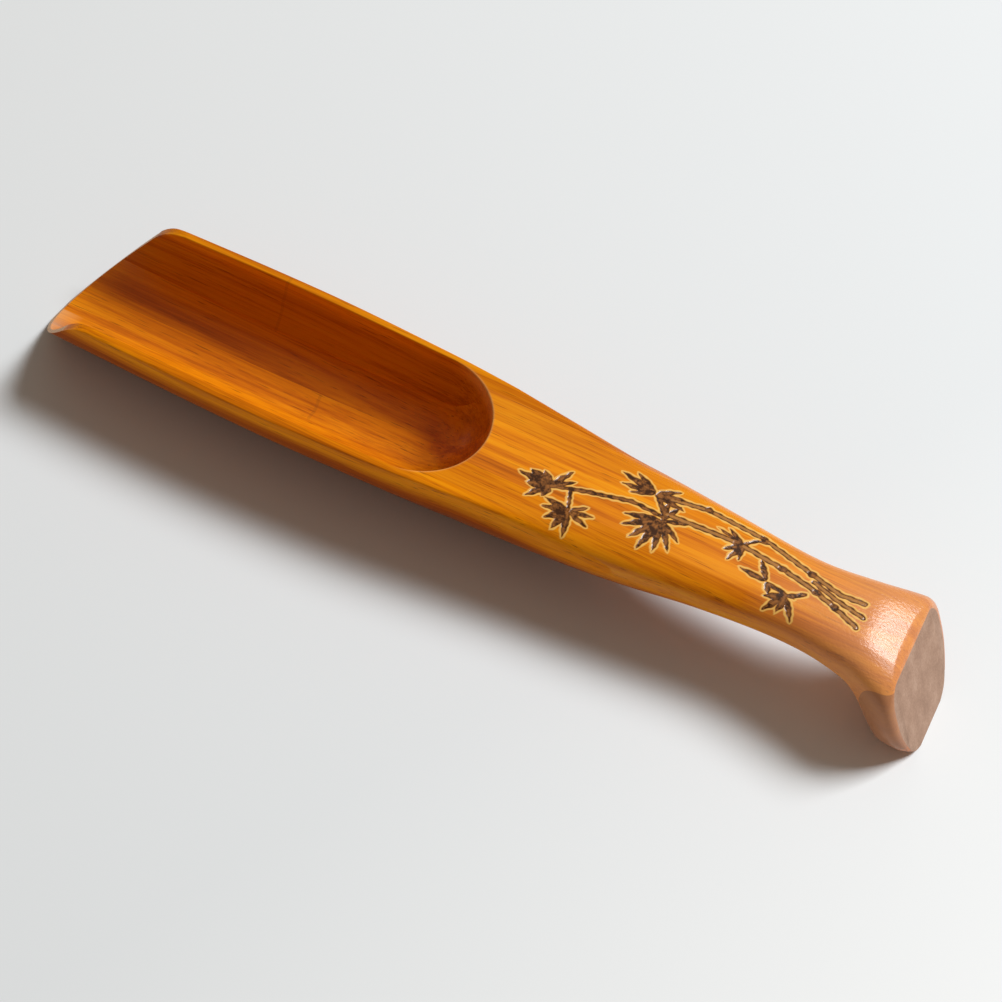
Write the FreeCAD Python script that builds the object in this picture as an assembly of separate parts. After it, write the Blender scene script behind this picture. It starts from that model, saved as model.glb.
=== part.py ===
import FreeCAD, Part
import math
import os

# Bamboo tea scoop: a deep trough with a short solid handle that flares into a foot.
# The blank is glued up from upright bamboo strips, side face to side face, and carved.
# Each strip is a piece of its own. The two outermost strips are thinner than the neck is
# narrow, so carving the neck parts each of them into a rim piece and a foot piece.
#
# Lengths are in millimetres. While the scoop is carved, x is measured from the tip of the
# lip towards the foot, y across the scoop and z up from the surface it lies on.
# The finished pieces are then moved so that the origin is the middle of the footprint.

# Overall length
overall_length = 180.0

# Places along the trough, from the tip of the lip
belly_at = 46.0
trough_end_at = 87.0
belly_flat_end_at = 84.0

# Places along the foot, back from its end
neck_from_end = 30.0
flare_from_end = 18.5
foot_from_end = 7.0

# Places along the handle, as shares of the way from the trough to the neck
shoulder_share = 0.134
grip_share = 0.449
arch_rise_share = 0.512
slim_share = 0.748
arch_high_share = 0.827

# Widths seen from above
lip_width = 28.9
belly_width = 31.1
trough_end_width = 29.2
shoulder_width = 25.7
grip_width = 23.4
slim_width = 19.8
neck_width = 17.1
flare_width = 20.1
foot_width = 26.4

# Heights of the top side
lip_height = 19.4
belly_height = 20.3
shoulder_height = 21.5
slim_height = 22.4
neck_height = 22.4
flare_height = 22.5
foot_height = 20.4

# Heights of the underside, which arches between the belly and the foot
arch_rise_height = 6.0
arch_high_height = 11.4
arch_neck_height = 11.6
arch_top_height = 14.6
resting_sand_depth = 0.7

# Fullness of the section: two is an ellipse, less is keener, more is squarer
belly_fullness = 1.6
handle_fullness = 1.9
foot_fullness = 2.3
trough_fullness = 2.0
rim_squareness = 8.0
handle_squareness = 3.0
foot_squareness = 3.7

# Depth from the top to the widest line of the section
rim_shoulder = 1.2
handle_shoulder = 5.0
foot_shoulder = 7.6

# Trough
rim_wall_at_lip = 1.7
rim_wall_at_belly = 1.8
trough_end_radius = 13.2
floor_at_lip = 1.3
floor_at_belly = 2.8
floor_at_end = 4.4

# Lip: it leans back, and runs a little askew with its tip to the near side of the middle
lip_lean = 33.4
lip_skew = 7.7
lip_tip_offset = 2.6
lip_corner_radius = 7.5

# Foot end
foot_end_lean = 24.7
foot_top_round = 4.4

# Glued blank
strip_thickness = 5.5
core_joint_offset = 0.5
foot_strip_cover = 1.7

# Pieces of each strip, from the lip to the foot, starting at the near side
strip_names = [
    ["near_rim_strip", "near_foot_strip"],
    ["near_side_strip"],
    ["near_core_strip"],
    ["far_core_strip"],
    ["far_side_strip"],
    ["far_rim_strip", "far_foot_strip"],
]

# Modelling values
overrun = 4.0
section_count = 37
upper_point_count = 21
lower_point_count = 21
trough_section_count = 7


def hermite_slopes(points):
    """Slopes for a smooth line through the points that never overshoots them."""
    steps = [(b[1] - a[1]) / (b[0] - a[0]) for a, b in zip(points, points[1:])]
    slopes = [steps[0]]
    for before, after in zip(steps, steps[1:]):
        if before * after <= 0:
            slopes.append(0.0)
        else:
            slopes.append(2 * before * after / (before + after))
    slopes.append(steps[-1])
    return slopes


def flow(points, x):
    """Height of the smooth line through the points, at x."""
    slopes = hermite_slopes(points)
    if x <= points[0][0]:
        return points[0][1]
    for i, (start, end) in enumerate(zip(points, points[1:])):
        if x <= end[0]:
            span = end[0] - start[0]
            u = (x - start[0]) / span
            from_start = (1 + 2 * u) * (1 - u) ** 2 * start[1] + u * (1 - u) ** 2 * span * slopes[i]
            from_end = u * u * (3 - 2 * u) * end[1] - u * u * (1 - u) * span * slopes[i + 1]
            return from_start + from_end
    return points[-1][1]


neck_at = overall_length - neck_from_end
flare_at = overall_length - flare_from_end
foot_at = overall_length - foot_from_end


def along_handle(share):
    """Place on the handle, as a share of the way from the trough to the neck."""
    return trough_end_at + share * (neck_at - trough_end_at)


half_width_line = [
    (0, lip_width / 2),
    (belly_at, belly_width / 2),
    (trough_end_at - trough_end_radius, trough_end_width / 2),
    (along_handle(shoulder_share), shoulder_width / 2),
    (along_handle(grip_share), grip_width / 2),
    (along_handle(slim_share), slim_width / 2),
    (neck_at, neck_width / 2),
    (flare_at, flare_width / 2),
    (foot_at, foot_width / 2),
    (overall_length, foot_width / 2),
]
top_line = [
    (0, lip_height),
    (belly_at, belly_height),
    (along_handle(shoulder_share), shoulder_height),
    (along_handle(slim_share), slim_height),
    (neck_at, neck_height),
    (flare_at, flare_height),
    (foot_at, foot_height),
    (overall_length, foot_height),
]
underside_line = [
    (0, -resting_sand_depth),
    (belly_flat_end_at, -resting_sand_depth),
    (along_handle(arch_rise_share), arch_rise_height),
    (along_handle(arch_high_share), arch_high_height),
    (neck_at, arch_neck_height),
    (flare_at, arch_top_height),
    (foot_at, 0),
    (overall_length, -resting_sand_depth),
]
fullness_line = [
    (trough_end_at, belly_fullness),
    (neck_at, handle_fullness),
    (foot_at, foot_fullness),
]
squareness_line = [
    (trough_end_at, rim_squareness),
    (along_handle(grip_share), handle_squareness),
    (neck_at, handle_squareness),
    (foot_at, foot_squareness),
]
shoulder_line = [
    (trough_end_at, rim_shoulder),
    (along_handle(grip_share), handle_shoulder),
    (neck_at, handle_shoulder),
    (foot_at, foot_shoulder),
]
trough_end_centre = trough_end_at - trough_end_radius
trough_half_width_line = [
    (0, lip_width / 2 - rim_wall_at_lip),
    (belly_at, belly_width / 2 - rim_wall_at_belly),
    (trough_end_centre, trough_end_radius),
]
trough_floor_line = [
    (0, floor_at_lip),
    (belly_at, floor_at_belly),
    (trough_end_centre, floor_at_end),
]


def bent_share(value, squareness):
    """A sine or cosine bent towards a square corner, with its sign kept."""
    return math.copysign(abs(value) ** (2 / squareness), value)


def half_section(x, half_width, base_z, height, squareness, count):
    """Points round an upper (height above zero) or lower half section, from right to left."""
    points = []
    for i in range(count):
        angle = math.pi * i / (count - 1)
        y = half_width * bent_share(math.cos(angle), squareness)
        z = base_z + height * bent_share(math.sin(angle), squareness)
        points.append(FreeCAD.Vector(x, y, z))
    points[-1].z = base_z
    return points


def clamped_knots(count):
    """Evenly spaced knots of a cubic line that starts and ends on its outer control points."""
    knots = list(range(count - 2))
    multiplicities = [4] + [1] * (len(knots) - 2) + [4]
    return knots, multiplicities


def smooth_edge(points):
    """Cubic line that the points control: it starts and ends on them and never overshoots."""
    knots, multiplicities = clamped_knots(len(points))
    curve = Part.BSplineCurve()
    curve.buildFromPolesMultsKnots(points, multiplicities, knots, False, 3)
    return curve.toShape()


def smooth_face(rows):
    """Cubic face that rows of points control, in the same way."""
    row_knots, row_multiplicities = clamped_knots(len(rows))
    point_knots, point_multiplicities = clamped_knots(len(rows[0]))
    surface = Part.BSplineSurface()
    surface.buildFromPolesMultsKnots(
        rows, row_multiplicities, point_multiplicities, row_knots, point_knots, False, False, 3, 3
    )
    return surface.toShape()


def carved_outside():
    """The whole scoop outside: an upper and a lower skin over sections along the scoop."""
    upper_rows = []
    lower_rows = []
    for i in range(section_count):
        x = (overall_length + overrun) * i / (section_count - 1) - overrun
        half_width = flow(half_width_line, x)
        drop = flow(shoulder_line, x)
        widest_z = flow(top_line, x) - drop
        depth = widest_z - flow(underside_line, x)
        squareness = flow(squareness_line, x)
        fullness = flow(fullness_line, x)
        upper_rows.append(half_section(x, half_width, widest_z, drop, squareness, upper_point_count))
        lower_rows.append(half_section(x, half_width, widest_z, -depth, fullness, lower_point_count))
    faces = [smooth_face(upper_rows), smooth_face(lower_rows)]
    for end in (0, -1):
        rim = Part.Wire([smooth_edge(upper_rows[end]), smooth_edge(lower_rows[end])])
        faces.append(Part.Face(rim))
    shell = Part.makeShell(faces)
    shell.sewShape()
    solid = Part.makeSolid(shell)
    if solid.Volume < 0:
        solid.reverse()
    return solid


def above_the_table():
    """Everything above the surface the scoop lies on: it leaves the sanded resting flats."""
    size = FreeCAD.Vector(overall_length + 2 * overrun, belly_width + foot_width, 2 * shoulder_height)
    corner = FreeCAD.Vector(-overrun, -size.y / 2, 0)
    return Part.makeBox(size.x, size.y, size.z, corner)


def trough_outline(x, half_width, floor_z):
    """Round-bottomed section of the trough, open upwards past the rims."""
    top_z = flow(top_line, x)
    depth = top_z - floor_z
    points = half_section(x, half_width, top_z, -depth, trough_fullness, lower_point_count)
    raised = FreeCAD.Vector(0, 0, overrun)
    right = points[0]
    left = points[-1]
    corners = [left, left + raised, right + raised, right]
    lines = [Part.makeLine(a, b) for a, b in zip(corners, corners[1:])]
    return Part.Wire([smooth_edge(points)] + lines)


def trough_cutter():
    """Long hollow of the trough, and the round end where the handle starts."""
    outlines = []
    for i in range(trough_section_count):
        x = trough_end_centre * i / (trough_section_count - 1)
        outlines.append(trough_outline(x, flow(trough_half_width_line, x), flow(trough_floor_line, x)))
    hollow = Part.makeLoft(outlines, True, False)
    top_z = flow(top_line, trough_end_centre)
    depth = top_z - floor_at_end
    section = half_section(0, trough_end_radius, top_z, -depth, trough_fullness, lower_point_count)
    quarter = [FreeCAD.Vector(trough_end_centre, -p.y, p.z) for p in section[: lower_point_count // 2 + 1]]
    raised = FreeCAD.Vector(0, 0, overrun)
    axis_top = FreeCAD.Vector(trough_end_centre, 0, top_z) + raised
    corners = [quarter[-1], axis_top, quarter[0] + raised, quarter[0]]
    lines = [Part.makeLine(a, b) for a, b in zip(corners, corners[1:])]
    half = Part.Face(Part.Wire([smooth_edge(quarter)] + lines))
    round_end = half.revolve(axis_top, FreeCAD.Vector(0, 0, 1), 180)
    return hollow.fuse(round_end)


def unit_vector(x, z):
    """Direction of unit length in the side view."""
    return FreeCAD.Vector(x, 0, z).normalize()


def round_corner(corner, first, second, radius):
    """Start, crown and end of the arc that rounds the corner between two directions."""
    opening = first.getAngle(second)
    tangent = radius / math.tan(opening / 2)
    middle_way = (first + second).normalize()
    centre = corner + middle_way * (radius / math.sin(opening / 2))
    return [corner + first * tangent, centre - middle_way * radius, corner + second * tangent]


def side_cutter_outline(ground, face, corner, top, radius, reach):
    """Side view of what an end cut takes away: the end's face, its round top corner, and beyond."""
    on_face, crown, on_top = round_corner(corner, face, top, radius)
    above = FreeCAD.Vector(on_top.x, 0, corner.z + overrun)
    high = FreeCAD.Vector(reach, 0, above.z)
    low = FreeCAD.Vector(reach, 0, ground.z)
    corners = [on_top, above, high, low, ground, on_face]
    lines = [Part.makeLine(a, b) for a, b in zip(corners, corners[1:])]
    return Part.Wire([Part.Arc(on_face, crown, on_top).toShape()] + lines)


def top_direction(x, reach):
    """Direction of the top line at x, towards x plus reach."""
    return unit_vector(reach, flow(top_line, x + reach) - flow(top_line, x))


def end_cutter(outline, skew, tip_offset):
    """An end cut's side view carried right across the scoop, straight or askew."""
    half = (foot_width + belly_width) / 2
    outline.translate(FreeCAD.Vector(skew * (tip_offset - half), -half, 0))
    return Part.Face(outline).extrude(FreeCAD.Vector(2 * skew * half, 2 * half, 0))


def lip_cutter():
    """What is cut away in front of the lip: a plane that leans back, with round rim corners."""
    lean = math.tan(math.radians(lip_lean))
    corner_z = flow(top_line, lean * lip_height)
    corner = FreeCAD.Vector(lean * corner_z, 0, corner_z)
    ground = FreeCAD.Vector(-lean * overrun, 0, -overrun)
    along = top_direction(corner.x, lip_corner_radius)
    outline = side_cutter_outline(
        ground, unit_vector(-lean * corner_z, -corner_z), corner, along, lip_corner_radius, -lip_width
    )
    return end_cutter(outline, math.tan(math.radians(lip_skew)), lip_tip_offset)


def foot_end_cutter():
    """What is cut away behind the foot: a plane that leans forward, with a round top edge."""
    lean = math.tan(math.radians(foot_end_lean))
    corner = FreeCAD.Vector(overall_length - lean * foot_height, 0, foot_height)
    ground = FreeCAD.Vector(overall_length + lean * overrun, 0, -overrun)
    along = top_direction(corner.x, -foot_top_round)
    outline = side_cutter_outline(
        ground, unit_vector(lean * foot_height, -foot_height), corner, along, foot_top_round,
        overall_length + 2 * overrun,
    )
    return end_cutter(outline, 0, 0)


def carved_scoop():
    """The carved scoop before it is divided along its glue lines."""
    body = carved_outside().common(above_the_table())
    body = body.cut(foot_end_cutter())
    body = body.cut(lip_cutter())
    return body.cut(trough_cutter())


def glue_line_y(line, x):
    """How far across a straight glue line lies at x, from its places at the belly and the foot."""
    at_belly, at_foot = line
    return at_belly + (at_foot - at_belly) * (x - belly_at) / (foot_at - belly_at)


def strip_slab(low_line, high_line):
    """Space that one upright strip of the blank takes up, between its two glue lines."""
    start = -overrun
    end = overall_length + overrun
    corners = [
        FreeCAD.Vector(start, glue_line_y(low_line, start), -overrun),
        FreeCAD.Vector(end, glue_line_y(low_line, end), -overrun),
        FreeCAD.Vector(end, glue_line_y(high_line, end), -overrun),
        FreeCAD.Vector(start, glue_line_y(high_line, start), -overrun),
    ]
    outline = Part.Face(Part.makePolygon(corners + corners[:1]))
    return outline.extrude(FreeCAD.Vector(0, 0, shoulder_height + 2 * overrun))


def main():
    os.makedirs("parts", exist_ok=True)
    body = carved_scoop()
    beyond = (belly_width + foot_width) / 2
    # Each glue line has its place at the belly and at the foot. At the belly they lie whole
    # strips apart, and at the foot the outermost ones lie the cover inside the foot's sides.
    joints = [strip_thickness * step - core_joint_offset for step in (-2, -1, 0, 1, 2)]
    foot_joint = foot_width / 2 - foot_strip_cover
    foot_joints = [-foot_joint] + joints[1:-1] + [foot_joint - 2 * core_joint_offset]
    limits = [(-beyond, -beyond)] + list(zip(joints, foot_joints)) + [(beyond, beyond)]
    box = body.optimalBoundingBox(False, False)
    to_origin = FreeCAD.Vector(-(box.XMin + box.XMax) / 2, 0, 0)
    print("box", box)
    for names, low_line, high_line in zip(strip_names, limits, limits[1:]):
        piece = body.common(strip_slab(low_line, high_line))
        piece.translate(to_origin)
        solids = sorted(piece.Solids, key=lambda solid: solid.CenterOfMass.x)
        print(names, len(solids), [round(s.Volume) for s in solids], [s.isValid() for s in solids])
        for name, solid in zip(names, solids):
            solid.exportStep("parts/" + name + ".step")


main()
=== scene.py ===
import math

import bmesh
import bpy
import numpy as np
from mathutils import Matrix, Vector


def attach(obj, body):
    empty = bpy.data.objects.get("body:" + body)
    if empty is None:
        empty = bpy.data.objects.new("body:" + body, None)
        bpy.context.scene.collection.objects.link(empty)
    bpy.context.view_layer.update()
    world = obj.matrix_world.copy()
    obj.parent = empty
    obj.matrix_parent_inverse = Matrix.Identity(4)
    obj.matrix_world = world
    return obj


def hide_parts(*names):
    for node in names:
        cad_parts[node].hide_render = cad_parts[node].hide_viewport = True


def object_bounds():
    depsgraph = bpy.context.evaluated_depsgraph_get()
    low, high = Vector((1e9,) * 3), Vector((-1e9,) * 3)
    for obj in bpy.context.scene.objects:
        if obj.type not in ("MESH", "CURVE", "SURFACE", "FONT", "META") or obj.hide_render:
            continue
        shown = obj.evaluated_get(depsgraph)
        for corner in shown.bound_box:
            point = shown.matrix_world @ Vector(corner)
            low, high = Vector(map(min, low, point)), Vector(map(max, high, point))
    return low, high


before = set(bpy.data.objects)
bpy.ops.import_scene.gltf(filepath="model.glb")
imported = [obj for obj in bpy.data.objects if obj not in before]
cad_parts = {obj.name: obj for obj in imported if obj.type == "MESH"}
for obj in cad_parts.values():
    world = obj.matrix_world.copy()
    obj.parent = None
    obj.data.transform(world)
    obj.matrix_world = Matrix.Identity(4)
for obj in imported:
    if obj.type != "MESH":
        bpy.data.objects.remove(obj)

# Bamboo tea scoop. The shapes are worked out in millimetres: x from the tip of the lip towards
# the foot, y across the scoop towards the far side and z up from the table. to_frame moves
# them into the frame, in metres.

cad_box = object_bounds()
scene = bpy.context.scene
scene.view_settings.view_transform = "Standard"

LENGTH = 180.0
MM = 0.001
FRAME_END = float(cad_box[1][0])

# Camera and light.

CAMERA_PLACE = Vector((0.0675, -0.26988, 0.415))
CAMERA_AIM = Vector((0.00403, -0.00632, 0.015))
CAMERA_ROLL = math.radians(14.1136)
CAMERA_LENS = 97.018
CAMERA_SENSOR = 36
WINDOW_PLACE = (0.63, 0.72, 1.29)
WINDOW_POWER = 26.5
WINDOW_SIZE = 0.6
WINDOW_COLOUR = (0.955, 0.985, 1.0)
ROOM_COLOUR = (1.0, 0.83, 0.66, 1)
ROOM_STRENGTH = 0.20
FLOOR_HALF = 3


def place_camera():
    """The camera as it was fitted to the photograph: aimed at a point, then rolled."""
    data = bpy.data.cameras.new("camera")
    data.lens = CAMERA_LENS
    data.sensor_width = CAMERA_SENSOR
    camera = bpy.data.objects.new("camera", data)
    scene.collection.objects.link(camera)
    turn = (CAMERA_AIM - CAMERA_PLACE).to_track_quat("-Z", "Y").to_matrix().to_4x4()
    roll = Matrix.Rotation(CAMERA_ROLL, 4, "Z")
    camera.matrix_world = Matrix.Translation(CAMERA_PLACE) @ turn @ roll
    scene.camera = camera


def place_lamp(name, place, aim, power, size, colour):
    """A square lamp that faces the point it is aimed at."""
    data = bpy.data.lights.new(name, "AREA")
    data.energy = power
    data.size = size
    data.color = colour
    lamp = bpy.data.objects.new(name, data)
    scene.collection.objects.link(lamp)
    lamp.location = place
    lamp.rotation_euler = (Vector(aim) - lamp.location).to_track_quat("-Z", "Y").to_euler()


# Shape of the carved scoop: places along it, then tables of a place and the value there, which
# flow() joins up.

BELLY = 46.0
BELLY_FLAT_END = 84.0
TROUGH_END = 87.0
END_RADIUS = 13.2
END_CENTRE = TROUGH_END - END_RADIUS
NECK = LENGTH - 30.0
FLARE = LENGTH - 18.5
FOOT = LENGTH - 7.0
SHOULDER = TROUGH_END + 0.134 * (NECK - TROUGH_END)
GRIP = TROUGH_END + 0.449 * (NECK - TROUGH_END)
RISE = TROUGH_END + 0.512 * (NECK - TROUGH_END)
SLIM = TROUGH_END + 0.748 * (NECK - TROUGH_END)
HIGH = TROUGH_END + 0.827 * (NECK - TROUGH_END)

HALF_WIDTH = [
    (0, 14.45), (BELLY, 15.55), (END_CENTRE, 14.6), (SHOULDER, 12.85), (GRIP, 11.7), (SLIM, 9.9),
    (NECK, 8.55), (FLARE, 10.05), (FOOT, 13.25), (LENGTH, 13.25),
]
TOP = [
    (0, 19.4), (BELLY, 20.3), (SHOULDER, 21.5), (SLIM, 22.4), (NECK, 22.4), (FLARE, 22.5),
    (FOOT + 2, 20.3), (LENGTH, 20.3),
]
UNDERSIDE = [
    (0, -0.7), (BELLY_FLAT_END, -0.7), (RISE, 6.0), (HIGH, 11.4), (NECK, 11.6), (FLARE, 14.6),
    (FOOT, 0), (LENGTH, -0.7),
]
FULLNESS = [(TROUGH_END, 1.6), (NECK, 1.9), (FOOT, 2.3)]
SQUARENESS = [(TROUGH_END, 8.0), (GRIP, 3.0), (NECK, 3.0), (FOOT, 3.8)]
SHOULDER_DEPTH = [(TROUGH_END, 1.2), (GRIP, 5.0), (NECK, 5.0), (FOOT, 7.5)]
TROUGH_HALF_WIDTH = [(0, 12.75), (BELLY, 13.75), (END_CENTRE, END_RADIUS)]
TROUGH_FLOOR = [(0, 1.3), (BELLY, 2.8), (END_CENTRE, 4.4)]
RIM_EASING = 0.45

LIP_ANGLE = 33.4
LIP_LEAN = math.tan(math.radians(LIP_ANGLE))
LIP_SKEW = math.tan(math.radians(7.7))
LIP_TIP_OFFSET = 2.6
LIP_CORNER_HEIGHT = 19.7
LIP_CORNER_RADIUS = 7.5
FOOT_ANGLE = 24.7
FOOT_LEAN = math.tan(math.radians(FOOT_ANGLE))
FOOT_CORNER_HEIGHT = 20.4
FOOT_TOP_ROUND = 3.0
FOOT_SIDE_ROUND = 2.0
CORNER_BLEND = 0.5
CORNER_BLEND_RUN = 1.5

NO_LIMIT = 99.0
HALVINGS = 44
TINY = 1e-6


def flow(points, x):
    """Smooth line through points: cubic pieces whose slopes are the harmonic means of the steps."""
    px = np.array([p[0] for p in points], float)
    py = np.array([p[1] for p in points], float)
    steps = np.diff(py) / np.diff(px)
    slopes = np.empty_like(px)
    slopes[0] = steps[0]
    slopes[-1] = steps[-1]
    product = steps[:-1] * steps[1:]
    total = np.where(product > 0, steps[:-1] + steps[1:], 1.0)
    slopes[1:-1] = np.where(product > 0, 2 * product / total, 0.0)
    x = np.clip(x, px[0], px[-1])
    i = np.clip(np.searchsorted(px, x) - 1, 0, len(px) - 2)
    span = px[i + 1] - px[i]
    u = (x - px[i]) / span
    start = (1 + 2 * u) * (1 - u) ** 2 * py[i] + u * (1 - u) ** 2 * span * slopes[i]
    end = u * u * (3 - 2 * u) * py[i + 1] - u * u * (1 - u) * span * slopes[i + 1]
    return start + end


def smooth_lower(a, b, reach):
    """The lower of two heights, blended over reach where they are nearly the same."""
    h = np.clip(0.5 + 0.5 * (b - a) / reach, 0, 1)
    return b + (a - b) * h - reach * h * (1 - h)


def smooth_step(low, high, value):
    """Rises from 0 to 1 between low and high, level at both ends."""
    u = np.clip((value - low) / (high - low), 0, 1)
    return u * u * (3 - 2 * u)


def bulge(share, power):
    """Height of a unit superellipse over its half width: (1 - |share|^power)^(1/power)."""
    return np.clip(1 - np.clip(np.abs(share), 0, 1) ** power, 0, 1) ** (1 / power)


def corner_arc(x, run, radius):
    """Height of a round top corner: the top, less what an arc falls over its run."""
    return flow(TOP, x) - radius + np.sqrt(radius ** 2 - run ** 2)


def end_limit(x, y):
    """Height of the round top corners, an arc tangent to the top and to each leaning end, and
    the reach over which the skins blend into it, which grows from nothing where the arc starts."""
    turn = math.radians(90 - LIP_ANGLE)
    corner = LIP_LEAN * LIP_CORNER_HEIGHT + LIP_SKEW * (y + LIP_TIP_OFFSET)
    start = corner + LIP_CORNER_RADIUS * math.tan(turn / 2)
    lip_run = np.clip(start - x, 0, LIP_CORNER_RADIUS * math.sin(turn))
    lip = corner_arc(x, lip_run, LIP_CORNER_RADIUS)
    turn = math.radians(90 - FOOT_ANGLE)
    start = LENGTH - FOOT_LEAN * FOOT_CORNER_HEIGHT - FOOT_TOP_ROUND * math.tan(turn / 2)
    foot_run = np.clip(x - start, 0, FOOT_TOP_ROUND * math.sin(turn))
    foot = corner_arc(x, foot_run, FOOT_TOP_ROUND)
    reach = CORNER_BLEND * smooth_step(0, CORNER_BLEND_RUN, lip_run + foot_run) + TINY
    return np.where(x < NECK, lip, foot), reach


def skin_top(x, y):
    """Upper skin: flat-topped superellipse section, cut by the trough and the round end corners.

    The trough is half an ellipse across, and half an ellipse turned about its end centre where
    the handle starts. Its edge is eased by a quarter circle.
    """
    width = flow(HALF_WIDTH, x)
    drop = flow(SHOULDER_DEPTH, x)
    top = flow(TOP, x)
    outer = top - drop + drop * bulge(y / width, flow(SQUARENESS, x))
    ahead = np.maximum(x - END_CENTRE, 0)
    radial = np.hypot(ahead, y)
    half = np.where(ahead > 0, END_RADIUS, flow(TROUGH_HALF_WIDTH, x))
    depth = top - RIM_EASING - flow(TROUGH_FLOOR, x)
    wall = top - RIM_EASING - depth * bulge(radial / half, 2)
    past = np.clip(half + RIM_EASING - radial, 0, RIM_EASING)
    eased = top - RIM_EASING + np.sqrt(np.clip(RIM_EASING ** 2 - past ** 2, 0, None))
    beside = np.where(radial < half + RIM_EASING, eased, NO_LIMIT)
    z = np.minimum(outer, np.where(radial < half, wall, beside))
    return smooth_lower(z, *end_limit(x, y))


def skin_bottom(x, y):
    """Lower skin: superellipse section below the widest line, sanded flat where it rests."""
    width = flow(HALF_WIDTH, x)
    widest = flow(TOP, x) - flow(SHOULDER_DEPTH, x)
    depth = widest - flow(UNDERSIDE, x)
    z = widest - depth * bulge(y / width, flow(FULLNESS, x))
    return np.maximum(smooth_lower(z, *end_limit(x, y)), 0)


def find(function, low, high):
    """Where a function that rises through zero does so, by halving, for whole arrays."""
    for _ in range(HALVINGS):
        middle = (low + high) / 2
        above = function(middle) > 0
        high = np.where(above, middle, high)
        low = np.where(above, low, middle)
    return (low + high) / 2


# One strip of the glued blank.

WIDE = 1000.0
LIP_REACH = (-4.0, 24.0)
FOOT_REACH = (160.0, 182.0)


def crowd_end(count, power):
    """Shares from 0 to 1 that crowd towards 1."""
    return 1 - (1 - np.linspace(0, 1, count)) ** power


def crowd_both(count):
    """Shares from 0 to 1 that crowd towards both ends."""
    return 0.5 - 0.5 * np.cos(np.pi * np.linspace(0, 1, count))


def strip_across(x, share, inner, outer):
    """Place across the scoop: share 0 is the inner glue face, share 1 the outer one or the side.

    In a rim or foot piece, whose outer place is WIDE, the first half of the shares crosses the
    hollow's wall and the second half the rim. Past the hollow both parts keep their proportion.
    """
    side = 1.0 if outer > inner else -1.0
    width = flow(HALF_WIDTH, x)
    if abs(outer) < WIDE:
        return inner + (side * np.minimum(abs(outer), width) - inner) * share
    inset = abs(inner)
    kept = (END_RADIUS - inset) / (flow(HALF_WIDTH, np.array(END_CENTRE)) - inset)
    rim = np.where(x < END_CENTRE, flow(TROUGH_HALF_WIDTH, x), inset + kept * (width - inset))
    wall = inset + (rim - inset) * np.clip(2 * share, 0, 1)
    return side * (wall + (width - rim) * np.clip(2 * share - 1, 0, 1))


def strip_grid(inner, outer, shares, start, finish, columns, breaks):
    """Rows across by columns along, for the upper and the lower skin of one strip.

    Columns run from the start line to the trough's end arc, then to each break and on to the
    finish line, and each point lies on its skin. Start and finish are functions of the skin, or a
    place along the scoop. Breaks are places.
    """
    skins = []
    for skin in (skin_top, skin_bottom):
        def on_skin(x):
            y = strip_across(x, shares, inner, outer)
            return y, skin(x, y)

        def edge(limit, reach):
            if not callable(limit):
                return np.full(shares.shape, float(limit))
            low, high = (np.full(shares.shape, end) for end in reach)
            return find(lambda x: limit(x, *on_skin(x)), low, high)

        lines = [edge(start, LIP_REACH)]
        if len(columns) > 1:
            lines.append(edge(trough_end_line, (END_CENTRE - 0.001, TROUGH_END + 0.001)))
        lines += [edge(place, None) for place in breaks]
        lines.append(edge(finish, FOOT_REACH))
        spans = [
            near[None, :] + (far - near)[None, :] * column[:, None]
            for near, far, column in zip(lines, lines[1:], columns)
        ]
        x = np.concatenate([spans[0]] + [span[1:] for span in spans[1:]])
        y = strip_across(x, shares[None, :], inner, outer)
        skins.append((x, y, skin(x, y)))
    return skins


def lip_line(x, y, z):
    """Behind the lip's plane: it leans back by its height and runs askew by its place across."""
    return x - LIP_LEAN * z - LIP_SKEW * (y + LIP_TIP_OFFSET)


def trough_end_line(x, y, z):
    """Past the arc where the trough ends."""
    return x - END_CENTRE - np.sqrt(np.clip(END_RADIUS ** 2 - y ** 2, 0, None))


def foot_line(x, y, z):
    """Past the plane of the foot's end, which leans forward."""
    return x + FOOT_LEAN * z - LENGTH


def ease_foot(x, y, z):
    """Rounds the foot's side edges: points near the end plane move in by a quarter circle."""
    lean = math.cos(math.radians(FOOT_ANGLE))
    gap = np.clip((LENGTH - FOOT_LEAN * z - x) * lean, 0, FOOT_SIDE_ROUND)
    inward = FOOT_SIDE_ROUND - np.sqrt(FOOT_SIDE_ROUND ** 2 - (FOOT_SIDE_ROUND - gap) ** 2)
    share = np.abs(y) / flow(HALF_WIDTH, x)
    return y - np.sign(y) * inward * smooth_step(0.5, 1.0, share)


# Engraved bamboo spray.

def leaf(x, y, base, tip, half_width):
    """Depth inside a leaf: half width times a skewed sine along it, less the distance across."""
    along = np.array(tip, float) - np.array(base, float)
    length = np.hypot(*along)
    along /= length
    u = ((x - base[0]) * along[0] + (y - base[1]) * along[1]) / length
    across = (y - base[1]) * along[0] - (x - base[0]) * along[1]
    inside = np.clip(u, 0, 1)
    body = 0.92 * half_width * np.sin(np.pi * inside ** 0.8) ** 0.8
    beyond = np.maximum(np.maximum(-u, u - 1), 0) * length
    return body - np.abs(across) - beyond, across


def deeper(first, second):
    """Depth and distance across of whichever of two shapes a point lies deeper in."""
    nearer = second[0] > first[0]
    return np.where(nearer, second[0], first[0]), np.where(nearer, second[1], first[1])


def nowhere(x):
    """Depth and distance across where there is no shape yet."""
    return np.full(x.shape, -NO_LIMIT), np.zeros(x.shape)


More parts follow.
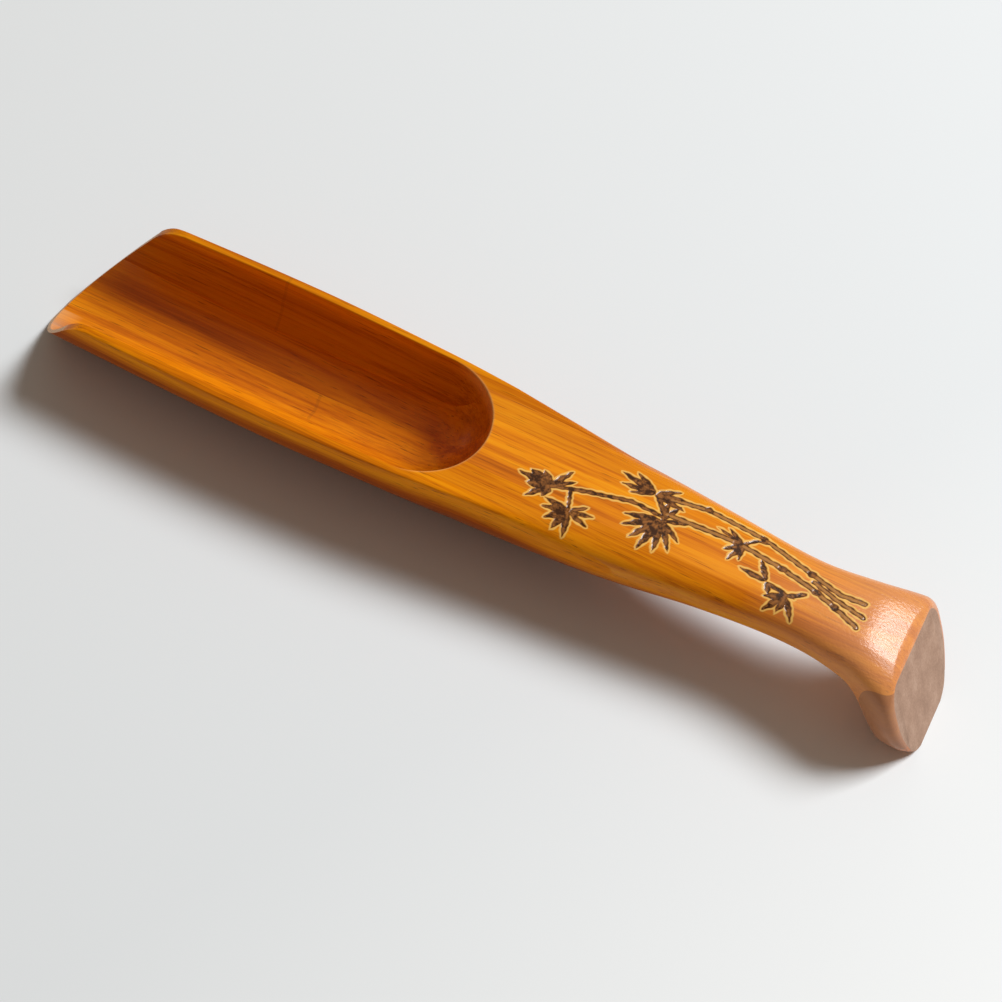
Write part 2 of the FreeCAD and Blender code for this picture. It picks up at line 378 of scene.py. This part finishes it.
def stem(x, y, points, half_width):
    """Depth inside a stem: its half width less the distance to the nearest of its runs."""
    best = nowhere(x)
    for start, end in zip(points, points[1:]):
        run = np.array([end[0] - start[0], end[1] - start[1]], float)
        length = np.hypot(*run)
        run /= length
        dx = x - start[0]
        dy = y - start[1]
        u = np.clip((dx * run[0] + dy * run[1]) / length, 0, 1)
        gap = np.hypot(dx - u * length * run[0], dy - u * length * run[1])
        best = deeper(best, (half_width - gap, dy * run[0] - dx * run[1]))
    return best


# Leaves grow in fans: the middle of the fan, then the direction in degrees, length and half width
# of each leaf. Direction 0 is towards the foot and 90 is towards the far side.
LEAF_FANS = [
    ((101.2, -3.4), [(176, 6.2, 0.75), (196, 4.2, 1.2), (158, 4.6, 1.3), (128, 3.4, 1.0), (62, 5.6, 0.65),
                     (38, 5.0, 0.55), (232, 5.0, 0.7), (262, 2.6, 0.9)]),
    ((106.4, -6.6), [(172, 5.0, 0.7), (194, 4.9, 0.7), (222, 4.6, 0.75), (252, 4.6, 0.8), (282, 4.8, 0.75),
                     (12, 4.6, 0.55), (40, 3.8, 0.5), (342, 4.4, 0.55)]),
    ((118.6, 4.6), [(168, 7.4, 0.75), (188, 6.4, 0.65), (148, 5.4, 0.7), (204, 4.8, 0.55), (12, 6.6, 0.7),
                    (-10, 6.0, 0.7), (35, 5.0, 0.6)]),
    ((121.8, -0.2), [(196, 6.8, 0.7), (214, 7.4, 0.75), (236, 7.2, 0.8), (256, 7.6, 0.85), (278, 6.8, 0.8),
                     (302, 6.4, 0.7), (326, 5.2, 0.6), (96, 4.6, 0.7), (66, 4.8, 0.6), (18, 5.2, 0.55)]),
    ((136.6, 2.4), [(222, 4.0, 0.6), (250, 4.6, 0.6), (276, 3.4, 0.5), (150, 4.2, 0.5), (168, 5.6, 0.4)]),
    ((143.0, -2.6), [(176, 5.4, 0.6), (122, 5.0, 0.6), (352, 6.0, 0.4), (300, 2.6, 0.6)]),
    ((147.2, -3.6), [(205, 4.0, 0.75), (234, 4.8, 0.7), (262, 3.4, 0.75), (304, 4.6, 0.6), (30, 3.0, 0.5)]),
]
TWIGS = [
    ([(101.6, -3.2), (107.6, -1.2), (115.6, 0.9), (121.4, 0.6)], 0.42),
    ([(104.8, -2.2), (106.2, -6.4)], 0.35),
    ([(119.0, 4.4), (121.6, 1.2), (122.4, -1.2)], 0.5),
    ([(136.2, 2.2), (138.6, 4.6), (141.6, 5.4)], 0.32),
    ([(143.2, -2.8), (147.2, -3.4), (150.2, -1.6)], 0.34),
]
STALKS = [
    ([(121.6, 4.9), (128.4, 6.3), (139.4, 5.7), (149.6, 3.0), (155.6, 1.5), (160.2, 1.9)], 0.54),
    ([(121.8, 1.4), (135.6, 2.3), (144.6, 1.3), (150.4, 0.2), (155.0, -1.2), (160.4, -3.3)], 0.54),
    ([(150.6, 1.6), (155.6, 0.1), (160.8, -0.9)], 0.5),
]
STALK_NODES = [
    (128.4, 6.3), (139.4, 5.7), (149.6, 3.0), (135.6, 2.3), (144.6, 1.3), (151.8, -0.2), (155.6, -1.4),
]
STALK_NODE_RADIUS = 0.72
HATCH_PITCH = 0.62
CUT_DEPTH = 0.1


def engraving(x, y):
    """Dark lines, brown fill, pale scorched halo and hollow of the spray, each from 0 to 1.

    Each follows the depth in millimetres inside the nearest leaf or stem, made uneven by two
    slow sines. The dark lines are a rim along each outline and a hatching inside it.
    """
    best = nowhere(x)
    for (cx, cy), leaves in LEAF_FANS:
        for degrees, length, half_width in leaves:
            turn = math.radians(degrees)
            tip = (cx + length * math.cos(turn), cy + length * math.sin(turn))
            best = deeper(best, leaf(x, y, (cx, cy), tip, half_width))
    for points, half_width in TWIGS:
        best = deeper(best, stem(x, y, points, half_width))
    hollow = np.zeros(x.shape)
    for points, half_width in STALKS:
        found = stem(x, y, points, half_width)
        hollow = np.where(found[0] > best[0], smooth_step(0.17, 0.3, found[0]), hollow)
        best = deeper(best, found)
    depth, across = best
    for nx, ny in STALK_NODES:
        inside = STALK_NODE_RADIUS - np.hypot((x - nx) * 0.8, y - ny)
        hollow = hollow * (1 - smooth_step(-0.1, 0.15, inside))
        depth = np.maximum(depth, inside)
    rough = 0.06 * np.sin(3.1 * x + 1.7 * y) + 0.05 * np.sin(5.3 * y - 2.3 * x + 1.0)
    depth = depth + rough
    cut = smooth_step(-0.09, 0.12, depth)
    hatch = 0.5 + 0.5 * np.cos(across * 2 * np.pi / HATCH_PITCH)
    line = cut * (1 - smooth_step(0.08, 0.22, depth) * (0.5 + 0.5 * hatch))
    line = np.maximum(line * (1 - hollow), 0)
    halo = smooth_step(-0.46, -0.26, depth) * (1 - smooth_step(-0.14, 0.02, depth))
    return line, cut, halo, hollow


# Mesh of a piece.

WOOD, SAWN_END, LIP_EDGE = range(3)
WELD = 2e-7
NO_LENGTH = 1e-8
SHARP_EDGE = math.radians(38)


def to_frame(x, y, z):
    """Millimetres along, across and up become metres in the frame, measured from the foot's end."""
    return np.stack([FRAME_END + (x - LENGTH) * MM, y * MM, z * MM], axis=-1).reshape(-1, 3)


def grid_faces(rows, columns, first, flip):
    """Quads of a grid of points numbered row by row from first."""
    index = first + np.arange(rows * columns).reshape(rows, columns)
    corners = [index[:-1, :-1], index[1:, :-1], index[1:, 1:], index[:-1, 1:]]
    quads = np.stack(corners, -1).reshape(-1, 4)
    return quads[:, ::-1] if flip else quads


def band_faces(first, second, flip):
    """Quads between two lines of points."""
    quads = np.stack([first[:-1], first[1:], second[1:], second[:-1]], -1)
    return quads[:, ::-1] if flip else quads


SLOPE_STEP = 0.002
NO_SLOPE = 1e-12
SKIN_MARGIN = 0.0005


def section_level(x, y, z, upper):
    """The section's superellipse: 1 on the skin, less inside it."""
    widest = flow(TOP, x) - flow(SHOULDER_DEPTH, x)
    if upper:
        power = flow(SQUARENESS, x)
        height = (z - widest) / flow(SHOULDER_DEPTH, x)
    else:
        power = flow(FULLNESS, x)
        height = (widest - z) / (widest - flow(UNDERSIDE, x))
    return np.abs(y / flow(HALF_WIDTH, x)) ** power + np.clip(height, 0, None) ** power


def outward(x, y, z, upper):
    """Direction in which the section's superellipse rises fastest, or zero off the skin."""
    slopes = np.stack([
        section_level(x + dx, y + dy, z + dz, upper) - section_level(x - dx, y - dy, z - dz, upper)
        for dx, dy, dz in np.eye(3) * SLOPE_STEP
    ], axis=-1)
    size = np.maximum(np.linalg.norm(slopes, axis=-1, keepdims=True), NO_SLOPE)
    on_skin = np.abs(section_level(x, y, z, upper) - 1) < SKIN_MARGIN
    return (slopes / size * on_skin[..., None]).reshape(-1, 3)


def smooth_skins(mesh):
    """Gives the corners of the skins' faces the outward directions that their points carry."""
    directions = np.empty(len(mesh.vertices) * 3, np.float32)
    mesh.attributes["outward"].data.foreach_get("vector", directions)
    skin = np.empty(len(mesh.polygons), np.int32)
    mesh.attributes["skin"].data.foreach_get("value", skin)
    corners = np.empty(len(mesh.polygons), np.int32)
    mesh.polygons.foreach_get("loop_total", corners)
    points = np.empty(len(mesh.loops), np.int32)
    mesh.loops.foreach_get("vertex_index", points)
    normals = directions.reshape(-1, 3)[points] * np.repeat(skin, corners)[:, None]
    mesh.normals_split_custom_set(normals.tolist())
    for label in ("outward", "skin"):
        mesh.attributes.remove(mesh.attributes[label])


def paint(mesh, label, upper, lower):
    """A named value at each point, of the upper skin and then of the lower one."""
    layer = mesh.attributes.new(label, "FLOAT", "POINT")
    values = np.concatenate([upper.reshape(-1), lower.reshape(-1)])
    layer.data.foreach_set("value", values.astype(np.float32))


def paint_shades(mesh, upper, lower):
    """Masks from 0 to 1: painted shade and a pale line.

    Under rises with the distance below the widest line and paints shade on the underside. Deep
    rises with the depth in the hollow and towards the far side and paints shade on the hollow's
    far wall. Pale is a bell curve across the arc where the trough ends.
    """
    x, y, z = upper
    bx, by, bz = lower
    # Painted shade on the underside: darker below the widest line
    widest = flow(TOP, bx) - flow(SHOULDER_DEPTH, bx)
    under = smooth_step(0.5, 5.5, widest - bz)
    # Painted shade on the far wall of the hollow, which faces away from the window
    inside = trough_end_line(x, y, z) < 0
    deep = smooth_step(1.2, 4.0, flow(TOP, x) - z) * inside * smooth_step(3.0, 9.0, y)
    past_end = np.hypot(x - END_CENTRE, y) - END_RADIUS
    pale = smooth_step(END_CENTRE, END_CENTRE + 8, x) * np.exp(-((past_end - 0.12) / 0.22) ** 2)
    none = np.zeros(x.shape)
    paint(mesh, "under", none, under)
    paint(mesh, "pale", pale, none)
    paint(mesh, "deep", deep, none)


def scoop_mesh(name, skins, mirrored, materials, lip_end, foot_end):
    """Closed mesh of a strip: both skins, the glue faces between them and the two end faces."""
    (x, y, z), (bx, by, bz) = skins
    line, cut, halo, hollow = engraving(x, y)
    on_handle = smooth_step(91.0, 93.0, x) * (1 - smooth_step(164, 166, x))
    on_handle = on_handle * (1 - smooth_step(0.94, 0.975, np.abs(y) / flow(HALF_WIDTH, x)))
    z = z - CUT_DEPTH * cut * on_handle * (1 - 0.5 * hollow)
    if foot_end:
        y = ease_foot(x, y, z)
        by = ease_foot(bx, by, bz)
    rows, columns = x.shape
    count = rows * columns
    top = np.arange(count).reshape(rows, columns)
    bottom = top + count
    parts = [
        (grid_faces(rows, columns, 0, mirrored), WOOD),
        (grid_faces(rows, columns, count, not mirrored), WOOD),
        (band_faces(top[:, 0], bottom[:, 0], not mirrored), WOOD),
        (band_faces(top[:, -1], bottom[:, -1], mirrored), WOOD),
        (band_faces(top[0], bottom[0], mirrored), LIP_EDGE if lip_end else WOOD),
        (band_faces(top[-1], bottom[-1], not mirrored), SAWN_END if foot_end else WOOD),
    ]
    faces = np.concatenate([quads for quads, slot in parts])
    slots = np.repeat([slot for quads, slot in parts], [len(quads) for quads, slot in parts])
    on_skin = np.repeat([1, 1, 0, 0, 0, 0], [len(quads) for quads, slot in parts])
    mesh = bpy.data.meshes.new(name)
    points = np.concatenate([to_frame(x, y, z), to_frame(bx, by, bz)])
    mesh.from_pydata(points, [], faces.tolist())
    for label, values in (("dark", line), ("fill", cut), ("halo", halo), ("hollow", hollow)):
        paint(mesh, label, values * on_handle, np.zeros(x.shape))
    paint_shades(mesh, (x, y, z), (bx, by, bz))
    layer = mesh.attributes.new("outward", "FLOAT_VECTOR", "POINT")
    directions = np.concatenate([outward(x, y, z, True), outward(bx, by, bz, False)])
    layer.data.foreach_set("vector", directions.reshape(-1).astype(np.float32))
    layer = mesh.attributes.new("skin", "INT", "FACE")
    layer.data.foreach_set("value", on_skin.astype(np.int32))
    mesh.polygons.foreach_set("material_index", slots.astype(np.int32))
    for material in materials:
        mesh.materials.append(material)
    work = bmesh.new()
    work.from_mesh(mesh)
    bmesh.ops.remove_doubles(work, verts=work.verts, dist=WELD)
    bmesh.ops.dissolve_degenerate(work, edges=work.edges, dist=NO_LENGTH)
    work.to_mesh(mesh)
    work.free()
    mesh.polygons.foreach_set("use_smooth", np.ones(len(mesh.polygons), bool))
    mesh.set_sharp_from_angle(angle=SHARP_EDGE)
    smooth_skins(mesh)
    mesh.update()
    piece = bpy.data.objects.new(name, mesh)
    scene.collection.objects.link(piece)
    return piece


# Materials.

def new_material(name):
    """A material with nodes, its tree and its shader."""
    material = bpy.data.materials.new(name)
    material.use_nodes = True
    tree = material.node_tree
    return material, tree, tree.nodes["Principled BSDF"]


def add(tree, kind, **values):
    """A node whose sockets or settings take the values."""
    node = tree.nodes.new(kind)
    for key, value in values.items():
        if key in node.inputs:
            node.inputs[key].default_value = value
        else:
            setattr(node, key, value)
    return node


def noise(tree, place, scale, detail=3.0, roughness=0.5, distortion=0.0):
    """Noise stretched by scale along, across and up, in cycles a metre."""
    mapping = add(tree, "ShaderNodeMapping")
    mapping.inputs["Scale"].default_value = scale
    tree.links.new(place, mapping.inputs["Vector"])
    texture = add(tree, "ShaderNodeTexNoise", Scale=1.0, Detail=detail, Roughness=roughness)
    texture.inputs["Distortion"].default_value = distortion
    tree.links.new(mapping.outputs["Vector"], texture.inputs["Vector"])
    return texture.outputs["Fac"]


def ramp(tree, value, stops):
    """Colour read off a ramp. A stop with one number is a grey."""
    node = add(tree, "ShaderNodeValToRGB")
    tree.links.new(value, node.inputs["Fac"])
    band = node.color_ramp
    while len(band.elements) < len(stops):
        band.elements.new(0.5)
    for element, (place, colour) in zip(band.elements, stops):
        element.position = place
        element.color = (*colour, 1) if len(colour) == 3 else (colour[0],) * 3 + (1,)
    return node.outputs["Color"]


def mix(tree, share, first, second, blend="MIX"):
    """Blend of two colours, each of which is a socket or a plain colour."""
    node = tree.nodes.new("ShaderNodeMix")
    node.data_type = "RGBA"
    node.blend_type = blend
    for socket, value in ((node.inputs[0], share), (node.inputs[6], first), (node.inputs[7], second)):
        if isinstance(value, (int, float)):
            socket.default_value = value
        elif isinstance(value, tuple):
            socket.default_value = (*value, 1)
        else:
            tree.links.new(value, socket)
    return node.outputs[2]


def calc(tree, operation, first, second=0.0, third=0.0):
    """One step of arithmetic on sockets or numbers."""
    node = tree.nodes.new("ShaderNodeMath")
    node.operation = operation
    for socket, value in zip(node.inputs, (first, second, third)):
        if isinstance(value, (int, float)):
            socket.default_value = value
        else:
            tree.links.new(value, socket)
    return node.outputs[0]


def attribute(tree, name):
    """A named value that the mesh carries at its points."""
    node = add(tree, "ShaderNodeAttribute")
    node.attribute_name = name
    return node.outputs["Fac"]


def times(tree, value, factor):
    return calc(tree, "MULTIPLY", value, factor)


def rising(tree, value, slope, offset):
    """A straight line through the value, held between 0 and 1."""
    line = calc(tree, "MULTIPLY_ADD", value, slope, offset)
    return calc(tree, "MINIMUM", calc(tree, "MAXIMUM", line, 0.0), 1.0)


def bumped(tree, height, strength, distance):
    """Normal of a surface that is raised by height."""
    bump = add(tree, "ShaderNodeBump", Strength=strength, Distance=distance)
    tree.links.new(height, bump.inputs["Height"])
    return bump.outputs["Normal"]


def object_place(tree):
    return add(tree, "ShaderNodeTexCoord").outputs["Object"]


def layered(tree, colour, layers):
    """Lays colours over the first one in turn, each with its share, strength and blend."""
    for share, strength, tint, blend in layers:
        colour = mix(tree, times(tree, share, strength), colour, tint, blend)
    return colour


FIBRE_TONES = [
    (0.33, (0.34, 0.070, 0.002)), (0.45, (0.60, 0.150, 0.002)),
    (0.55, (0.80, 0.250, 0.002)), (0.69, (0.90, 0.35, 0.006)),
]
VESSEL = (0.20, 0.042, 0.003)
NODE_LINE = (0.22, 0.06, 0.008)
NODE_LINE_HALF = 0.0003
WAVE = 0.0016
# Painted shade: below the widest line, and on the far wall of the hollow
PAINTED_SHADE_UNDER = (0.50, 0.27, 0.12)
PAINTED_SHADE_FAR_WALL = (0.72, 0.66, 0.6)
PALE_EDGE = (0.95, 0.52, 0.2)
WORN = (0.86, 0.50, 0.24)
# The foot's flare: partly its browner tone, partly painted sheen of the lacquer
FLARE_TONE_AND_SHEEN = (0.72, 0.34, 0.18)
BURNT_DARK = (0.05, 0.016, 0.005)
BURNT_BROWN = (0.34, 0.125, 0.03)
STALK_HOLLOW = (0.50, 0.22, 0.055)
BURNT_LINE = (0.055, 0.020, 0.009)
SCORCHED_HALO = (0.95, 0.60, 0.15)


def bamboo(name, tone, shift, node_at, wear_share, coat):
    """Carbonised bamboo under lacquer: long fibre streaks, dark vessels, tone of its own strip.

    The fibres are three noises stretched along the strip, added up and read off a ramp. Shift
    moves them, so that each strip has its own. Node_at is the place of its node line.
    """
    material, tree, shader = new_material(name)
    coordinates = object_place(tree)
    moved = add(tree, "ShaderNodeMapping")
    moved.inputs["Location"].default_value = shift
    tree.links.new(coordinates, moved.inputs["Vector"])
    place = moved.outputs["Vector"]
    broad = noise(tree, place, (9, 160, 160), 2.0, 0.5, 0.3)
    streak = noise(tree, place, (16, 620, 620), 3.0, 0.6)
    fine = noise(tree, place, (45, 2300, 2300), 3.0, 0.65)
    vessel = noise(tree, place, (120, 3300, 3300), 2.0, 0.5)
    speckle = noise(tree, place, (1500, 2300, 2300), 2.0, 0.6)
    scorch = noise(tree, place, (900, 900, 900), 2.0, 0.6)

    # Place along the scoop, made wavy, for the node line, the worn lip and the foot's flare
    apart = add(tree, "ShaderNodeSeparateXYZ")
    tree.links.new(coordinates, apart.inputs["Vector"])
    wavy = calc(tree, "MULTIPLY_ADD", broad, WAVE, apart.outputs["X"])
    gap = calc(tree, "ABSOLUTE", calc(tree, "SUBTRACT", wavy, node_at + WAVE / 2))
    node_line = calc(tree, "LESS_THAN", gap, NODE_LINE_HALF)
    wear = rising(tree, wavy, -220.0, -18.4)
    flare = rising(tree, wavy, 45.0, -2.3)

    fibres = calc(tree, "ADD", times(tree, broad, 0.36), times(tree, streak, 0.36))
    fibres = calc(tree, "ADD", fibres, times(tree, fine, 0.28))
    tones = [(at, tuple(part * tone for part in colour)) for at, colour in FIBRE_TONES]
    vessels = ramp(tree, vessel, [(0.62, (0.0,)), (0.72, (1.0,))])
    patches = ramp(tree, scorch, [(0.42, (0.0,)), (0.6, (1.0,))])
    colour = layered(tree, ramp(tree, fibres, tones), [
        (vessels, 0.6, VESSEL, "MIX"),
        # painted shade below the widest line
        (attribute(tree, "under"), 0.85, PAINTED_SHADE_UNDER, "MULTIPLY"),
        # painted shade on the far wall of the hollow
        (attribute(tree, "deep"), 1.0, PAINTED_SHADE_FAR_WALL, "MULTIPLY"),
        (attribute(tree, "pale"), 0.5, PALE_EDGE, "MIX"),
        (node_line, 0.2, NODE_LINE, "MIX"),
        (wear, wear_share, WORN, "MIX"),
        # foot's flare: browner tone and painted sheen
        (flare, 0.5, FLARE_TONE_AND_SHEEN, "MIX"),
        (attribute(tree, "fill"), 1.0, mix(tree, patches, BURNT_DARK, BURNT_BROWN), "MIX"),
        (attribute(tree, "hollow"), 0.75, STALK_HOLLOW, "MIX"),
        (attribute(tree, "dark"), 0.85, BURNT_LINE, "MIX"),
        (attribute(tree, "halo"), 0.8, SCORCHED_HALO, "MIX"),
    ])
    tree.links.new(colour, shader.inputs["Base Color"])

    rough = calc(tree, "MULTIPLY_ADD", fine, 0.22, 0.30)
    tree.links.new(rough, shader.inputs["Roughness"])
    height = calc(tree, "ADD", fine, times(tree, streak, 1.5))
    height = calc(tree, "ADD", height, calc(tree, "MULTIPLY", speckle, times(tree, flare, 2.8)))
    normal = bumped(tree, height, 0.35, 0.00006)
    tree.links.new(normal, shader.inputs["Normal"])
    tree.links.new(normal, shader.inputs["Coat Normal"])
    shader.inputs["Specular IOR Level"].default_value = 0.06
    shader.inputs["Specular Tint"].default_value = (1.0, 0.6, 0.25, 1)
    shader.inputs["Coat Weight"].default_value = coat
    shader.inputs["Coat Roughness"].default_value = 0.25
    return material


def sawn_end(name):
    """Sawn foot end: matte end grain, mottled, with small pores."""
    material, tree, shader = new_material(name)
    place = object_place(tree)
    mottle = noise(tree, place, (200, 260, 160), 3.0, 0.6)
    pores = noise(tree, place, (1500, 2600, 2600), 2.0, 0.6)
    grain = calc(tree, "ADD", times(tree, mottle, 0.6), times(tree, pores, 0.4))
    colour = ramp(tree, grain, [
        (0.36, (0.32, 0.18, 0.115)), (0.5, (0.40, 0.235, 0.155)), (0.64, (0.48, 0.30, 0.21)),
    ])
    tree.links.new(colour, shader.inputs["Base Color"])
    shader.inputs["Roughness"].default_value = 0.62
    tree.links.new(bumped(tree, pores, 0.4, 0.00008), shader.inputs["Normal"])
    return material


def lip_edge(name):
    """Worn lip: paler bare bamboo."""
    material, tree, shader = new_material(name)
    grain = noise(tree, object_place(tree), (300, 1800, 1800), 3.0, 0.6)
    colour = ramp(tree, grain, [(0.35, (0.55, 0.25, 0.07)), (0.6, (0.82, 0.46, 0.18))])
    tree.links.new(colour, shader.inputs["Base Color"])
    shader.inputs["Roughness"].default_value = 0.5
    return material


def pale_table(name):
    """Pale table with painted light: a little paler towards the foot and the near side."""
    material, tree, shader = new_material(name)
    apart = add(tree, "ShaderNodeSeparateXYZ")
    tree.links.new(object_place(tree), apart.inputs["Vector"])
    along = calc(tree, "MULTIPLY_ADD", apart.outputs["Y"], -0.5, apart.outputs["X"])
    colour = ramp(tree, calc(tree, "MULTIPLY_ADD", along, 2.2, 0.5), [
        (0.1, (0.795, 0.815, 0.83)), (0.58, (0.795, 0.82, 0.84)), (0.82, (0.91, 0.925, 0.935)),
    ])
    tree.links.new(colour, shader.inputs["Base Color"])
    shader.inputs["Roughness"].default_value = 0.6
    shader.inputs["Specular IOR Level"].default_value = 0.2
    return material


# The scoop. The columns are shares of the way along each stretch of a strip, and the rows are
# shares of the way across it. Both crowd together where the shape turns quickly.

HOLLOW_COLUMNS = np.concatenate([np.linspace(0, 0.9, 90)[:-1], 0.9 + 0.1 * crowd_end(40, 1.7)])
HANDLE_COLUMNS = np.concatenate([
    np.linspace(0, 0.012, 10)[:-1], np.linspace(0.012, 0.86, 600)[:-1],
    np.linspace(0.86, 0.93, 40)[:-1], np.linspace(0.93, 1, 90),
])
TAPER_COLUMNS = np.concatenate([np.linspace(0, 0.03, 9)[:-1], 0.03 + 0.97 * crowd_end(110, 2.0)])
TO_TAPER_COLUMNS = np.concatenate([
    np.linspace(0, 0.03, 9)[:-1], np.linspace(0.03, 0.92, 290)[:-1], 0.92 + 0.08 * crowd_end(34, 2.4),
])
NARROW_COLUMNS = np.linspace(0, 1, 330)
PAST_TAPER_COLUMNS = np.linspace(0, 1, 76) ** 2.2
FOOT_COLUMNS = crowd_both(150)
CORE_COLUMNS = (HOLLOW_COLUMNS, HANDLE_COLUMNS)
SIDE_COLUMNS = (HOLLOW_COLUMNS, TO_TAPER_COLUMNS, NARROW_COLUMNS, PAST_TAPER_COLUMNS)
RIM_COLUMNS = (HOLLOW_COLUMNS, TAPER_COLUMNS)
CORE_ROWS = np.linspace(0, 1, 46)
SIDE_ROWS = crowd_end(50, 1.5)
RIM_ROWS = np.concatenate([0.5 * crowd_end(18, 1.8), 0.5 + 0.5 * crowd_both(30)[1:]])
FOOT_ROWS = crowd_end(30, 1.8)

CORE_JOINT = -0.5
STRIP = 5.5
LAP = 0.02
HANDLE_START = 90.0

# Tone, shift of the fibres and weight of the clear coat of each piece
LOOKS = {
    "near_core_strip": (1.1, (0.3, 0.11, 0), 0.7),
    "far_core_strip": (1.1, (0.0, 0.0, 0), 0.7),
    "near_side_strip": (1.0, (0.7, 0.3, 0), 0.3),
    "near_rim_strip": (1.08, (1.7, 0.2, 0), 0.05),
    # The near foot strip's low tone is painted shade: the near side of the foot faces away from the window
    "near_foot_strip": (0.34, (1.7, 0.2, 0), 0.3),
    "far_side_strip": (0.98, (1.1, 0.5, 0), 0.7),
    "far_rim_strip": (0.9, (2.1, 0.7, 0), 0.2),
    "far_foot_strip": (0.95, (2.1, 0.7, 0), 0.7),
}
NODE_LINES = {"far_rim_strip": -0.050, "far_core_strip": -0.037}
NO_NODE = 9.0
NEAR_WEAR = 0.45


def side_leaves(joint, low, high):
    """Where the side of the scoop passes a glue line, between low and high."""
    low, high = np.array(low), np.array(high)
    sign = 1.0 if flow(HALF_WIDTH, high) > flow(HALF_WIDTH, low) else -1.0
    return float(find(lambda x: sign * (flow(HALF_WIDTH, x) - abs(joint)), low, high))


def dress(name, inner, outer, rows, start, finish, columns, breaks=()):
    """Makes the surface of one strip, named after the solid it stands in for, and hides that solid."""
    tone, shift, coat = LOOKS[name]
    wear_share = NEAR_WEAR if name.startswith("near") else 0.0
    node_at = NODE_LINES.get(name, NO_NODE)
    wood = bamboo(name.replace("_", " ") + " bamboo", tone, shift, node_at, wear_share, coat)
    skins = strip_grid(inner, outer, rows, start, finish, columns, breaks)
    mirrored = outer < inner
    materials = [wood, sawn, worn]
    piece = scoop_mesh(
        name + "_carved", skins, mirrored, materials, start is lip_line, finish is foot_line
    )
    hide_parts(name)
    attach(piece, "root")


place_camera()
sawn = sawn_end("sawn foot end")
worn = lip_edge("worn lip")

for word, side in (("near", -1), ("far", 1)):
    outer = CORE_JOINT + side * STRIP
    dress(word + "_core_strip", CORE_JOINT, outer, CORE_ROWS, lip_line, foot_line, CORE_COLUMNS)
for word, side in (("near", -1), ("far", 1)):
    inner = CORE_JOINT + side * STRIP
    joint = inner + side * STRIP
    # The foot piece laps into the side strip by a hair, so that no gap shows under the foot
    lapped = joint - side * LAP
    gone = side_leaves(joint, HANDLE_START, NECK)
    back = side_leaves(joint, NECK, FOOT)
    lapped_back = side_leaves(lapped, NECK, FOOT)
    dress(word + "_side_strip", inner, joint, SIDE_ROWS, lip_line, foot_line, SIDE_COLUMNS, (gone, back))
    dress(word + "_rim_strip", joint, side * WIDE, RIM_ROWS, lip_line, gone, RIM_COLUMNS)
    dress(word + "_foot_strip", lapped, side * WIDE, FOOT_ROWS, lapped_back, foot_line, (FOOT_COLUMNS,))

floor_mesh = bpy.data.meshes.new("floor")
floor_corners = [(x * FLOOR_HALF, y * FLOOR_HALF, 0) for x, y in ((-1, -1), (1, -1), (1, 1), (-1, 1))]
floor_mesh.from_pydata(floor_corners, [], [(0, 1, 2, 3)])
floor = bpy.data.objects.new("floor", floor_mesh)
scene.collection.objects.link(floor)
floor_mesh.materials.append(pale_table("pale table"))

place_lamp("window", WINDOW_PLACE, (0, 0, 0), WINDOW_POWER, WINDOW_SIZE, WINDOW_COLOUR)
world = bpy.data.worlds.new("world")
scene.world = world
world.use_nodes = True
sky = world.node_tree.nodes["Background"]
sky.inputs["Color"].default_value = ROOM_COLOUR
sky.inputs["Strength"].default_value = ROOM_STRENGTH
